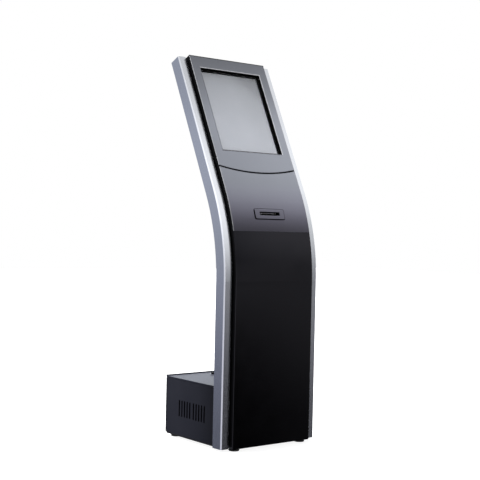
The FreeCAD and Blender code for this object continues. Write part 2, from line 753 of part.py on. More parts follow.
def lid_leaf(centre):
    """Moving half of a lid hinge, lying on the lid."""
    y, z = LID_AXIS
    x = middle_third(centre)
    low = centre - HINGE_LENGTH / 2
    high = centre + HINGE_LENGTH / 2
    tongue = block(x, (y, y + WING), (BOX_TOP, BOX_TOP + LEAF))
    wing = block((low, high), (y + 6, y + WING), (BOX_TOP, BOX_TOP + LEAF))
    bore = rod(PIN + SHAFT_CLEARANCE, (x[0] - 1, y, z), (x[1] + 1, y, z))
    return fuse_all([knuckle(LID_AXIS, x), tongue, wing]).cut(bore)


def door_leaf(centre):
    """Moving half of a door hinge, on the outer face of the door's lower edge."""
    y, z = DOOR_AXIS
    x = middle_third(centre)
    low = centre - HINGE_LENGTH / 2
    high = centre + HINGE_LENGTH / 2
    middle = DOOR_BOTTOM + 12
    face_y = BACK_DEPTH + SHEET + 0.15
    wing = at(block((low, high), (face_y, face_y + LEAF), (-6, 8)), middle)
    tongue = at(block(x, (face_y, face_y + LEAF), (-13.5, 0)), middle)
    bore = rod(PIN + SHAFT_CLEARANCE, (x[0] - 1, y, z), (x[1] + 1, y, z))
    return fuse_all([knuckle(DOOR_AXIS, x), tongue, wing]).cut(bore)


# ---- locks ---------------------------------------------------------------------------------
def lock_body():
    """Barrel through a sheet at y = 0 with its flange outside, bored for the plug."""
    barrel = rod(LOCK_BARREL, (0, -LOCK_DEPTH, 0), (0, SHEET, 0))
    flange = rod(12.0, (0, SHEET, 0), (0, SHEET + LOCK_FLANGE, 0))
    bore = rod(PLUG + SHAFT_CLEARANCE, (0, -LOCK_DEPTH - 1, 0), (0, SHEET + 5, 0))
    return fuse_all([barrel, flange]).cut(bore)


def lock_cam(head):
    """Plug with its grip outside, of the given height, and its cam inside, along X at rest."""
    seat = SHEET + LOCK_FLANGE + 0.3
    top = seat + head
    inner = -LOCK_DEPTH - 0.3
    plug = rod(PLUG, (0, inner, 0), (0, seat, 0))
    grip = rod(10.0, (0, seat, 0), (0, top, 0))
    grip = bevel(grip, 1.0, lambda edge, middle: abs(middle.y - top) < 0.01)
    slot = block((-1.2, 1.2), (top - 3.1, top + 1), (-5, 5))
    cam = block((-6, CAM_REACH), (inner - 2, inner), (-6, 6))
    return fuse_all([plug, grip, cam]).cut(slot)


def at_door_lock(shape):
    """Set a lock in the door; its flange clears the door's slight curve."""
    return at(shape, DOOR_LOCK_STATION, BACK_DEPTH + 0.12)


def at_lid_lock(shape):
    """Turn the lock so that its outside points up, and set it in the lid."""
    moved = shape.copy()
    turn = Rotation(ACROSS, 90)
    place = Placement(Vector(LID_LOCK[0], LID_LOCK[1], BOX_TOP - SHEET), turn)
    moved.Placement = place.multiply(moved.Placement)
    return moved


# ---- rear box ------------------------------------------------------------------------------
def box_side_left():
    """Side sheet with turned-in edges and ten louvre slots in two groups."""
    outer = -BOX_HALF
    inner = outer + SHEET
    back = BOX_REAR - REAR_RETURN - 0.5
    wall = block((outer, inner), (BOX_FRONT, back), (BOX_BOTTOM, SIDE_TOP))
    floor = block((inner, inner + 14), (BOX_FRONT, back), (BOX_BOTTOM, BOX_BOTTOM + SHEET))
    ledge = block((inner, inner + 9), (BOX_FRONT, back), (SIDE_TOP - SHEET, SIDE_TOP))
    front = block((inner, -RAIL_IN), (BOX_FRONT, BOX_FRONT + SHEET), (BOX_BOTTOM, SIDE_TOP))
    slots = []
    for first in LOUVRE_GROUPS:
        for i in range(5):
            y = first + LOUVRE_PITCH * i
            slots.append(louvre(y))
    return cut_all(fuse_all([wall, floor, ledge, front]), slots)


def louvre(y):
    """Upright slot with round ends through the side sheet."""
    radius = LOUVRE_WIDTH / 2
    x = (-BOX_HALF - 1, -BOX_HALF + SHEET + 1)
    low = LOUVRE_LOW + radius
    high = LOUVRE_HIGH - radius
    middle = block(x, (y - radius, y + radius), (low, high))
    ends = [rod(radius, (x[0], y, z), (x[1], y, z)) for z in (low, high)]
    return fuse_all([middle] + ends)


def box_rear_panel():
    """Rear sheet with turned-in sides and the service openings."""
    wall = block((-BOX_HALF, BOX_HALF), (BOX_REAR - SHEET, BOX_REAR), (BOX_BOTTOM, SIDE_TOP))
    returns = (BOX_REAR - REAR_RETURN, BOX_REAR)
    sides = both(block((-BOX_HALF, -BOX_HALF + SHEET), returns, (BOX_BOTTOM, SIDE_TOP)))
    through = (BOX_REAR - 5, BOX_REAR + 1)
    grille = [
        block((FAN_X - w, FAN_X + w), through, (FAN_Z + z - 2, FAN_Z + z + 2))
        for z, w in grille_rows()
    ]
    inlet = block((INLET_X - 24, INLET_X + 24), through, (INLET_Z - 13, INLET_Z + 13))
    grommet = rod(10.0, (GROMMET_X, through[0], GROMMET_Z), (GROMMET_X, through[1], GROMMET_Z))
    return cut_all(fuse_all([wall] + sides), grille + [inlet, grommet])


def lid_catch():
    """Bar welded under the ledges of the two side sheets; the lid's lock closes below it."""
    top = SIDE_TOP - SHEET - 0.1
    half = BOX_HALF - SHEET - 0.1
    return block((-half, half), CATCH_DEPTH, (top - SHEET, top))


def grille_rows():
    """Heights and half widths of the fan grille's slots, inside a circle."""
    radius = FAN_RADIUS - 2
    heights = [-28.0 + 8.0 * i for i in range(8)]
    return [(z, math.sqrt(radius ** 2 - z ** 2)) for z in heights]


def edge_of_box(x):
    return abs(abs(x) - BOX_HALF) < 0.01


def box_lid():
    """Lid with turned-down sides, a finger lip along its rear edge and a hole for its lock."""
    front = BOX_FRONT + 1.5
    top = block((-BOX_HALF, BOX_HALF), (front, BOX_REAR), (BOX_TOP - SHEET, BOX_TOP))
    edge_z = (BOX_TOP - LID_DROP, BOX_TOP)
    sides = both(block((-BOX_HALF, -BOX_HALF + SHEET), (front, BOX_REAR), edge_z))
    rear = block((-BOX_HALF, BOX_HALF), (BOX_REAR - SHEET, BOX_REAR), (edge_z[0], BOX_TOP + LID_LIP))
    lid = fuse_all([top, rear] + sides)
    lid = bevel(lid, 0.5, lambda edge, middle: middle.z > BOX_TOP - 0.01 and edge_of_box(middle.x))
    x, y = LID_LOCK
    return lid.cut(rod(LOCK_BARREL + 0.1, (x, y, BOX_TOP - 5), (x, y, BOX_TOP + 5)))


def on_fan(radius, low, high):
    """Rod on the fan's axis between two depths."""
    return rod(radius, (FAN_X, low, FAN_Z), (FAN_X, high, FAN_Z))


def fan_frame():
    """Square fan housing behind the grille, with four struts and the motor's hub."""
    low, high = FAN_FRONT, FAN_FRONT + FAN_DEPTH
    body = rounded(2 * FAN_RADIUS + 4, 2 * FAN_RADIUS + 4, 5, (low, high), (FAN_X, FAN_Z))
    body = body.cut(on_fan(FAN_RADIUS, low - 1, high + 1))
    reach = FAN_RADIUS + 1
    strut = (low, low + 3)
    flat = block((FAN_X - reach, FAN_X + reach), strut, (FAN_Z - 2, FAN_Z + 2))
    tall = block((FAN_X - 2, FAN_X + 2), strut, (FAN_Z - reach, FAN_Z + reach))
    spike = on_fan(FAN_SPIKE, low + 3, low + 12)
    return fuse_all([body, on_fan(FAN_HUB, low, low + 3), spike, flat, tall])


def fan_rotor():
    """Hub with seven pitched blades, bored for the spike it spins on."""
    low = FAN_FRONT + 4.0
    high = FAN_FRONT + FAN_DEPTH - 3.0
    centre = Vector(FAN_X, (low + high) / 2, FAN_Z)
    shapes = [on_fan(FAN_HUB, low, high)]
    for i in range(FAN_BLADES):
        blade = block((-6, 6), (-0.9, 0.9), (FAN_HUB - 2, FAN_RADIUS - 2))
        blade.translate(centre)
        blade.rotate(centre, Vector(0, 0, 1), FAN_PITCH)
        blade.rotate(centre, Vector(0, 1, 0), 360.0 / FAN_BLADES * i)
        shapes.append(blade)
    return fuse_all(shapes).cut(on_fan(FAN_SPIKE + SHAFT_CLEARANCE, low - 1, low + 9))


def power_inlet():
    """Mains inlet with three pins beside a well for the switch."""
    rear = BOX_REAR + 2.0
    middle = INLET_X - 9.0
    low, high = ROCKER_X
    flange = rounded(60, 34, 4, (BOX_REAR, rear), (INLET_X, INLET_Z))
    wide = (INLET_X - 23.5, INLET_X + 23.5)
    body = block(wide, (BOX_REAR - 27, BOX_REAR), (INLET_Z - 12.5, INLET_Z + 12.5))
    socket = rounded(24.5, 17, 3, (rear - 16, rear + 1), (middle, INLET_Z))
    well = block((INLET_X + low, INLET_X + high), (rear - 14, rear + 1), (INLET_Z - 11, INLET_Z + 11))
    pivot = on_rocker(1.5 + SHAFT_CLEARANCE, low - 1.5, high + 1.5)
    shell = cut_all(fuse_all([flange, body]), [socket, well, pivot])
    pins = []
    for dx, dz in ((-7, -1.5), (0, 2.5), (7, -1.5)):
        x = (middle + dx - 1, middle + dx + 1)
        pins.append(block(x, (rear - 16, rear - 4), (INLET_Z + dz - 2, INLET_Z + dz + 2)))
    return fuse_all([shell] + pins)


def on_rocker(radius, low, high):
    """Rod on the switch's pivot, between two distances from the inlet's middle."""
    return rod(radius, (INLET_X + low, ROCKER_Y, INLET_Z), (INLET_X + high, ROCKER_Y, INLET_Z))


def power_rocker():
    """Rocker on two trunnions, at rest tipped to its off side."""
    outline = [(-4.5, -7.0), (3.6, -9.0), (1.6, 0.0), (3.6, 9.0), (-4.5, 7.0)]
    points = [(ROCKER_Y + y, INLET_Z + z) for y, z in outline]
    low, high = ROCKER_X
    body = prism_x(points, (INLET_X + low + 0.4, INLET_X + high - 0.4))
    rocker = fuse_all([body, on_rocker(1.5, low - 1.3, high + 1.3)])
    rocker.rotate(Vector(INLET_X, ROCKER_Y, INLET_Z), ACROSS, -ROCKER_TIP)
    return rocker


def cable_grommet():
    """Rubber grommet that guides the network and power leads into the box."""
    low = BOX_REAR - SHEET - 2.0
    ring = [(9.9, low, GROMMET_REAR), (13.0, BOX_REAR, GROMMET_REAR), (12.0, low, BOX_REAR - SHEET)]
    rings = [rod(r, (GROMMET_X, y0, GROMMET_Z), (GROMMET_X, y1, GROMMET_Z)) for r, y0, y1 in ring]
    start = (GROMMET_X, low - 1, GROMMET_Z)
    end = (GROMMET_X, GROMMET_REAR + 1, GROMMET_Z)
    return fuse_all(rings).cut(rod(GROMMET_BORE, start, end))


# ---- electronics in the box ----------------------------------------------------------------
def pc_case():
    """Small computer's steel case, open at the front for its sockets."""
    x = (-150.0, 80.0)
    y = (100.0, 300.0)
    z = (PLATE_TOP, 68.0)
    wall = 1.2
    shell = block(x, y, z)
    room = block((x[0] + wall, x[1] - wall), (y[0] - 1, y[1] - wall), (z[0] + wall, z[1] - wall))
    slots = [block((-70 + 9 * i, -66 + 9 * i), (170, 230), (60, 75)) for i in range(9)]
    return cut_all(shell.cut(room), slots)


def motherboard():
    """Circuit board with its sockets, memory and heat sink."""
    board = block((-140, 30), (104, 274), (15, 16.6))
    sockets = block((-120, 0), (104, 124), (16.6, 40))
    sink = block((-90, -10), (165, 235), (16.6, 22))
    fins = [block((-90, -10), (165 + 7 * i, 167 + 7 * i), (22, 50)) for i in range(10)]
    memory = block((5, 9), (140, 270), (16.6, 46))
    return fuse_all([board, sockets, sink, memory] + fins)


def power_supply():
    supply = block((98, 162), (110, 260), (PLATE_TOP, 50))
    return bevel(supply, 2.0, lambda edge, middle: middle.z > 49.9)


def column_harness():
    """Wiring that runs up the left side of the column, with a plug at each end."""
    x, depth = HARNESS_AT
    start, end = HARNESS_RUN
    circle = Part.Wire(Part.makeCircle(HARNESS_RADIUS, Vector(x, depth, 0)))
    plug = block((x - 9, x + 9), (depth - 6, depth + 6), (0, 16))
    low = at(plug, start - 16)
    high = at(plug, end)
    return fuse_all([bend(Part.Face(circle), start, end), low, high])


# ---- screws --------------------------------------------------------------------------------
def screw_head():
    """Round screw head on a face at y = 0, with a hexagonal recess."""
    head = rod(4.5, (0, 0, 0), (0, SCREW_HEAD, 0))
    head = bevel(head, 0.6, lambda edge, middle: abs(middle.y - SCREW_HEAD) < 0.01)
    recess = hexagon(1.7).extrude(Vector(0, 0, 2))
    recess.rotate(Vector(0, 0, 0), ACROSS, -90)
    recess.translate(Vector(0, 0.8, 0))
    return head.cut(recess)


def panel_screws():
    """Screws of the column's back covers and of the box's rear panel."""
    solids = []
    for station in COVER_SCREWS:
        for x in (-COVER_SCREW_X, COVER_SCREW_X):
            head = screw_head()
            head.translate(Vector(x, BACK_DEPTH + SHEET + 0.05, 0))
            solids.append(at(head, station))
    for x in (-BOX_SCREW_X, BOX_SCREW_X):
        for z in BOX_SCREW_Z:
            head = screw_head()
            head.translate(Vector(x, BOX_REAR, z))
            solids.append(head)
    return solids


# ---- output --------------------------------------------------------------------------------
def main():
    os.makedirs("parts", exist_ok=True)
    left_rail = rail_left()
    save("rail_left", [left_rail])
    save("rail_right", [mirrored(left_rail)])
    save("rail_caps", rail_caps())
    save("base_plate", [base_plate()])
    save("foot_pads", [foot_pad(x, y) for x, y in FEET])
    save("foot_studs", [foot_stud(x, y) for x, y in FEET])
    save("cross_member_box", [cross_member(BOX_MEMBER)])
    save("cross_member_door_low", [cross_member(DOOR_MEMBERS[0])])
    save("cross_member_door_high", [cross_member(DOOR_MEMBERS[1])])
    save("cross_members_screen", [cross_member(station) for station in SCREEN_MEMBERS])
    left_frame = panel_frame_left()
    save("panel_frame_left", [left_frame])
    save("panel_frame_right", [mirrored(left_frame)])
    save("lower_panel", [lower_panel()])
    save("mid_panel", [mid_panel()])
    save("screen_bezel", [screen_bezel()])
    save("top_cap", [top_cap()])
    save("screen_surround", [screen_surround()])
    save("touch_glass", [touch_glass()])
    save("lcd_panel", [lcd_panel()])
    save("lcd_housing", [lcd_housing()])
    save("monitor_brackets", both(monitor_bracket()))
    save("ticket_bezel", [ticket_bezel()])
    save("ticket_throat", [ticket_throat()])
    save("printer_shelf", [printer_shelf()])
    save("printer_chassis", [printer_chassis()])
    save("platen_roller", [platen_roller()])
    save("platen_shaft", [platen_shaft()])
    save("print_head", [print_head()])
    save("cutter_frame", [cutter_frame()])
    save("cutter_blade", [cutter_blade()])
    save("printer_drive", [printer_drive()])
    save("feed_button", [feed_button()])
    save("roll_cradle", [roll_cradle()])
    save("roll_spindle", [roll_spindle()])
    save("paper_roll", [paper_roll()])
    save("column_back_lower", [column_back_lower()])
    save("column_back_upper", [column_back_upper()])
    save("printer_door", [printer_door()])
    save("hinge_frames", hinge_frames())
    save("lid_hinge_leaves", [lid_leaf(-HINGE_X), lid_leaf(HINGE_X)])
    save("door_hinge_leaves", [door_leaf(-HINGE_X), door_leaf(HINGE_X)])
    save("door_lock_body", [at_door_lock(lock_body())])
    save("door_lock_cam", [at_door_lock(lock_cam(3.0))])
    save("lid_lock_body", [at_lid_lock(lock_body())])
    save("lid_lock_cam", [at_lid_lock(lock_cam(7.0))])
    left_side = box_side_left()
    save("box_side_left", [left_side])
    save("box_side_right", [mirrored(left_side)])
    save("box_rear_panel", [box_rear_panel()])
    save("lid_catch", [lid_catch()])
    save("box_lid", [box_lid()])
    save("fan_frame", [fan_frame()])
    save("fan_rotor", [fan_rotor()])
    save("power_inlet", [power_inlet()])
    save("power_rocker", [power_rocker()])
    save("cable_grommet", [cable_grommet()])
    save("pc_case", [pc_case()])
    save("motherboard", [motherboard()])
    save("power_supply", [power_supply()])
    save("column_harness", [column_harness()])
    save("panel_screws", panel_screws())


main()
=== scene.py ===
import json
import math

import bpy
from mathutils import Matrix, Vector

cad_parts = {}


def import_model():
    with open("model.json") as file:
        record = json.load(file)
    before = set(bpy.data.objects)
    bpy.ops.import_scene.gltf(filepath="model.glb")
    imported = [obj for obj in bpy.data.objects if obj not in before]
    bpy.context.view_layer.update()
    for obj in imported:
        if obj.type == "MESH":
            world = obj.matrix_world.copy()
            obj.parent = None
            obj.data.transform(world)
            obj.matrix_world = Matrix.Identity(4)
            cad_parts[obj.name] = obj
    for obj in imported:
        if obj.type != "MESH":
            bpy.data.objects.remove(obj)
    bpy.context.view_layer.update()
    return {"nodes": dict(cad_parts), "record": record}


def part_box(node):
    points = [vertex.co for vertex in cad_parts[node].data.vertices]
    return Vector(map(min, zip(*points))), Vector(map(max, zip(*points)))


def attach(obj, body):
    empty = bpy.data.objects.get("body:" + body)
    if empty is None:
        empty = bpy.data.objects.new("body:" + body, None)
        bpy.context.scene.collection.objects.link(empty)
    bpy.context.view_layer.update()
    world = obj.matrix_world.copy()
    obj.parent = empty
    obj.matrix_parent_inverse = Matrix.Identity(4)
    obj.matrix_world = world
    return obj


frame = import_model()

# Looks of the touchscreen kiosk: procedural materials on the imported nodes, a few thin pieces that
# only the eye needs, a pale floor, soft light and the camera.  Everything is in metres.

# ---- camera --------------------------------------------------------------------------------
CAMERA_AT = Vector((-2.43365, -3.08168, 0.78828))
CAMERA_YAW = math.radians(38.087)
CAMERA_PITCH = math.radians(-0.519)
CAMERA_ROLL = math.radians(1.284)
CAMERA_LENS = 77.55
SENSOR = 36.0

# ---- line of the rails, in the row frame ----------------------------------------------------
RAIL_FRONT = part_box("rail_left")[0].y
BEND_RADIUS = 0.7575
BEND_ANGLE = math.radians(25.7)
BEND_CENTRE = Vector((0.0, RAIL_FRONT + BEND_RADIUS, 0.606))

# ---- edges of the grey panels ---------------------------------------------------------------
PANEL_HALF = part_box("screen_bezel")[1].x
OPENING_HALF = Vector((0.14325, 0.0, 0.17725))
OPENING_MIDDLE = 1.28035
RIM = 0.0022              # width of the painted highlight and shade along the panels' sides and the curved joint
RIM_FULL = 0.0004         # and the part of it that shows fully
OPENING_RIM = 0.0042      # width around the screen's opening
CORNER_TURN = 0.004       # the painted highlight fades into the painted shade this far to each side of a corner

# ---- display -------------------------------------------------------------------------------
ACTIVE_WIDTH = 0.2703
ACTIVE_HEIGHT = 0.3379
BORDER_HALF = (0.1465, 0.1805)
BORDER_DEPTH = -0.00315   # between display and glass, from the middle of the display's thickness
BORDER_THICK = 0.0001
BORDER_BOTTOM = 0.0035    # the printed border is wider by this much along the bottom

# ---- dust filters behind the louvres, in matt black that darkens the slots as shade would ----
SHEET = 0.0015
SHADE_FILTER_Y = (-0.072, 0.136)
SHADE_FILTER_Z = (0.080, 0.155)
SHADE_FILTER_GAP = SHEET + 0.0003
SHADE_FILTER_THICK = 0.0012
PLEATS = 34
PLEAT_DEPTH = 0.002

# ---- ticket mouth and paper; depths and heights are in the mouth's own frame ------------------
FLANGE_HALF = 0.069       # outline of the ticket frame
FLANGE_Z = (-0.021, 0.018)
FLANGE_CORNER = 0.0055
CORNER_STEPS = 6
# Black rubber around the ticket frame, standing in for the shadow gap around it.
SHADOW_GASKET_GAP = 0.0001
SHADOW_GASKET_WIDTH = 0.0014
SHADOW_GASKET_DEPTH = (-0.0212, -0.0174)
BEND_START = 0.597        # length along the panels' face from the rails' foot to the bend
PANEL_RADIUS = 0.7749     # radius of the bend on that face
MOUTH_STATION = 0.847     # length along it from the rails' foot to the mouth
MOUTH_X = -0.004
TEETH = 42
TOOTH_PITCH = 0.002
TOOTH_DEPTH = 0.001
TEAR_TOP = 0.0061
TEAR_TIP = 0.0031
TEAR_TOP_DEPTH = -0.0096
TEAR_BACK = -0.0066
TEAR_SLANT = 0.53         # depth gained for each step down the bar's front
TEAR_HONE = 0.0004        # height of the teeth's ground back
ROLL_RADIUS = 0.038
PLATEN_RADIUS = 0.008
PAPER_CLEAR = 0.00012     # middle of the paper off the roll and the platen
PAPER_THICK = 0.0001
PAPER_HALF = 0.0395
PAPER_END = 0.005
ROLL_WRAP = math.radians(25.0)   # how far back round the roll the loose paper is drawn
ROLL_STEPS = 10
PLATEN_STEPS = 24

# ---- curved joint under the screen, and the black rubber behind it that darkens the gap as shade would ---
SEAM_LOW = 0.0693         # joint's height on the centre line, above the bend's end
SEAM_STATION = BEND_CENTRE.z + BEND_RADIUS * BEND_ANGLE + SEAM_LOW
SEAM_RADIUS = 0.789
SEAM_HALF_GAP = 0.0024
SHADE_SEAL_WIDTH = 0.014
SHADE_SEAL_HALF = 0.155
SHADE_SEAL_DEPTH = (-0.0157, -0.0147)
SHADE_SEAL_STEPS = 32

# ---- tones: painted shade ----------------------------------------------------------------------
# A station is a length along the rails' front line from the floor.
# Painted shade of the display by station, plus the distance to the right of the middle.
DISPLAY_PAINTED_SHADE = (
    (1.08, 0.445), (1.24, 0.43), (1.32, 0.39), (1.40, 0.36), (1.45, 0.33), (1.50, 0.25), (1.56, 0.19),
)
# Painted shade of the grey lacquer by station.
PANEL_PAINTED_SHADE = (
    (0.75, 0.23), (0.79, 0.255), (0.82, 0.44), (0.86, 0.695), (0.90, 0.83), (0.96, 0.86), (1.04, 0.985),
    (1.22, 1.03), (1.28, 0.91), (1.34, 0.745), (1.40, 0.61), (1.47, 0.485), (1.51, 0.42),
)
# Painted shade of the rails by station.
RAIL_PAINTED_SHADE = ((1.0, 1.0), (1.15, 0.96), (1.25, 0.88), (1.35, 0.80), (1.45, 0.76), (1.51, 0.76))
# Painted shade of the rear box from front to rear: darkest next to the rails.
BOX_PAINTED_SHADE = ((-0.15, 0.42), (-0.10, 0.55), (-0.03, 0.90), (0.04, 1.0), (0.12, 0.94), (0.21, 0.82))

# Nodes that share the recess's matt black, and nodes that cast no shadow on the display or the mouth.
MATT_BLACK = ("screen_surround", "ticket_throat")
NO_SHADOW = ("touch_glass", "screen_surround", "screen_bezel", "ticket_bezel", "ticket_throat")

# ---- light ---------------------------------------------------------------------------------
KEY_TILT = math.radians(14.0)   # behind the vertical
KEY_TOWARD = (-0.08, math.sin(KEY_TILT), math.cos(KEY_TILT))
# Distant lights: name, direction they come from, angle in degrees, strength.
SUNS = (("key_overhead", KEY_TOWARD, 25.0, 11.1), ("fill_behind", (0.75, 0.62, 0.22), 40.0, 1.6))
# Soft panels: name, place, the point they face, size, power.
PANELS = (
    ("fill_right", (0.75, -0.55, 1.25), (0.15, -0.05, 1.2), (0.3, 0.9), 3.8),
    ("fill_box", (-0.60, 0.62, 0.30), (-0.21, 0.20, 0.15), (0.3, 0.3), 3.8),
)
AMBIENT = (0.07, 0.07, 0.074)
FLOOR_HALF = 14.0
FLOOR_GLOW = 0.9
SKY_GAIN = 1.75
# What reflections see in front of the kiosk: elevation in degrees, level on the left, on the right.
# Levels are times SKY_GAIN.
FRONT_SKY = (
    (-90.0, 0.01, 0.02), (-12.0, 0.0045, 0.04), (-9.5, 0.006, 0.047), (-8.2, 0.011, 0.08),
    (-7.0, 0.019, 0.13), (-6.0, 0.036, 0.14), (-4.4, 0.120, 0.18), (-2.4, 0.238, 0.165), (4.0, 0.43, 0.15),
    (10.5, 0.62, 0.225), (17.0, 0.81, 0.285), (23.0, 0.83, 0.33), (30.0, 0.89, 0.54), (36.0, 0.80, 0.68),
    (40.5, 0.84, 0.80), (41.5, 0.88, 0.90), (42.5, 0.73, 0.92), (45.0, 0.555, 0.94), (48.0, 0.50, 0.83),
    (61.0, 0.5, 0.75), (90.0, 0.34, 0.6),
)
SIDES = (0.606, 0.666)    # east part of a direction where the front sky's left ends and its right begins
SIDES_TURN = (38.0, 0.0055)   # above this elevation both are further west, by so much a degree
# Other parts of the surroundings: heading, half widths of full and of no effect, stops, tint.
SKY_PATCHES = (
    (
        (-0.616, 0.788), 25.0, 55.0,
        ((-90.0, 0.03), (-11.0, 0.075), (-8.0, 0.14), (-6.0, 0.17), (-3.0, 0.235), (0.0, 0.31), (3.0, 0.37),
         (9.0, 0.40), (90.0, 0.42)),
        (1.39, 1.47, 1.73),
    ),
    (
        (0.616, 0.788), 20.0, 45.0,
        ((-90.0, 0.5), (-10.0, 0.85), (0.0, 1.0), (90.0, 1.0)),
        (1.93, 2.04, 2.12),
    ),
    (
        (-0.790, -0.613), 9.0, 16.0,
        ((-90.0, 0.04), (-30.0, 0.08), (-17.0, 0.42), (0.0, 0.5), (20.0, 0.75), (30.0, 0.95), (48.0, 0.95),
         (60.0, 0.5), (90.0, 0.3)),
        (1.95, 1.95, 2.0),
    ),
)


# ---- node-tree helpers ---------------------------------------------------------------------
class Nodes:
    """A node tree with short calls for the nodes used below."""

    def __init__(self, tree):
        self.tree = tree

    def node(self, kind, **settings):
        made = self.tree.nodes.new(kind)
        for key, value in settings.items():
            setattr(made, key, value)
        return made

    def link(self, output, socket):
        self.tree.links.new(output, socket)

    def fill(self, socket, value):
        """Link an output, or set a plain value."""
        if isinstance(value, bpy.types.NodeSocket):
            self.link(value, socket)
        else:
            socket.default_value = value

    def math(self, operation, a, b=0.0, c=0.0):
        made = self.node("ShaderNodeMath", operation=operation)
        for socket, value in zip(made.inputs, (a, b, c)):
            self.fill(socket, value)
        return made.outputs[0]

    def clamp(self, value, low, high):
        made = self.node("ShaderNodeClamp")
        for socket, entry in zip(made.inputs, (value, low, high)):
            self.fill(socket, entry)
        return made.outputs[0]

    def split(self, vector):
        made = self.node("ShaderNodeSeparateXYZ")
        self.link(vector, made.inputs[0])
        return made.outputs

    def join(self, x, y, z):
        made = self.node("ShaderNodeCombineXYZ")
        for socket, value in zip(made.inputs, (x, y, z)):
            self.fill(socket, value)
        return made.outputs[0]

    def times(self, first, second):
        """Two vectors or colours multiplied; the second may be a plain tint or number."""
        made = self.node("ShaderNodeVectorMath", operation="MULTIPLY")
        self.link(first, made.inputs[0])
        self.fill(made.inputs[1], (second, second, second) if isinstance(second, float) else second)
        return made.outputs[0]

    def noise(self, vector, scale, detail=3.0, roughness=0.5):
        made = self.node("ShaderNodeTexNoise")
        self.link(vector, made.inputs["Vector"])
        made.inputs["Scale"].default_value = scale
        made.inputs["Detail"].default_value = detail
        made.inputs["Roughness"].default_value = roughness
        return made.outputs["Fac"]

    def cells(self, vector, scale, feature="F1", output="Distance"):
        made = self.node("ShaderNodeTexVoronoi", feature=feature)
        self.link(vector, made.inputs["Vector"])
        made.inputs["Scale"].default_value = scale
        return made.outputs[output]

    def spread(self, value, low, high, source=(0.3, 0.7), smooth=False):
        """Map a texture's usual span to a span of values."""
        made = self.node("ShaderNodeMapRange", interpolation_type="SMOOTHSTEP" if smooth else "LINEAR")
        self.link(value, made.inputs["Value"])
        for socket, entry in zip(("From Min", "From Max", "To Min", "To Max"), (*source, low, high)):
            made.inputs[socket].default_value = entry
        return made.outputs["Result"]

    def curve(self, value, stops):
        """Grey level from a list of (value, level) stops."""
        low, high = stops[0][0], stops[-1][0]
        ramp = self.node("ShaderNodeValToRGB")
        self.link(self.spread(value, 0.0, 1.0, (low, high)), ramp.inputs["Fac"])
        elements = ramp.color_ramp.elements
        while len(elements) < len(stops):
            elements.new(0.5)
        for element, (place, level) in zip(elements, stops):
            element.position = (place - low) / (high - low)
            element.color = (level, level, level, 1.0)
        return ramp.outputs["Color"]

    def blend(self, factor, first, second):
        """Mix two colours."""
        made = self.node("ShaderNodeMix", data_type="RGBA")
        self.fill(made.inputs["Factor"], factor)
        for socket, colour in ((made.inputs[6], first), (made.inputs[7], second)):
            self.fill(socket, (*colour, 1.0) if isinstance(colour, tuple) else colour)
        return made.outputs[2]

    def dot(self, vector, direction):
        made = self.node("ShaderNodeVectorMath", operation="DOT_PRODUCT")
        self.link(vector, made.inputs[0])
        made.inputs[1].default_value = direction
        return made.outputs["Value"]

    def bump(self, height, strength, distance):
        made = self.node("ShaderNodeBump")
        made.inputs["Strength"].default_value = strength
        made.inputs["Distance"].default_value = distance
        self.link(height, made.inputs["Height"])
        return made.outputs["Normal"]


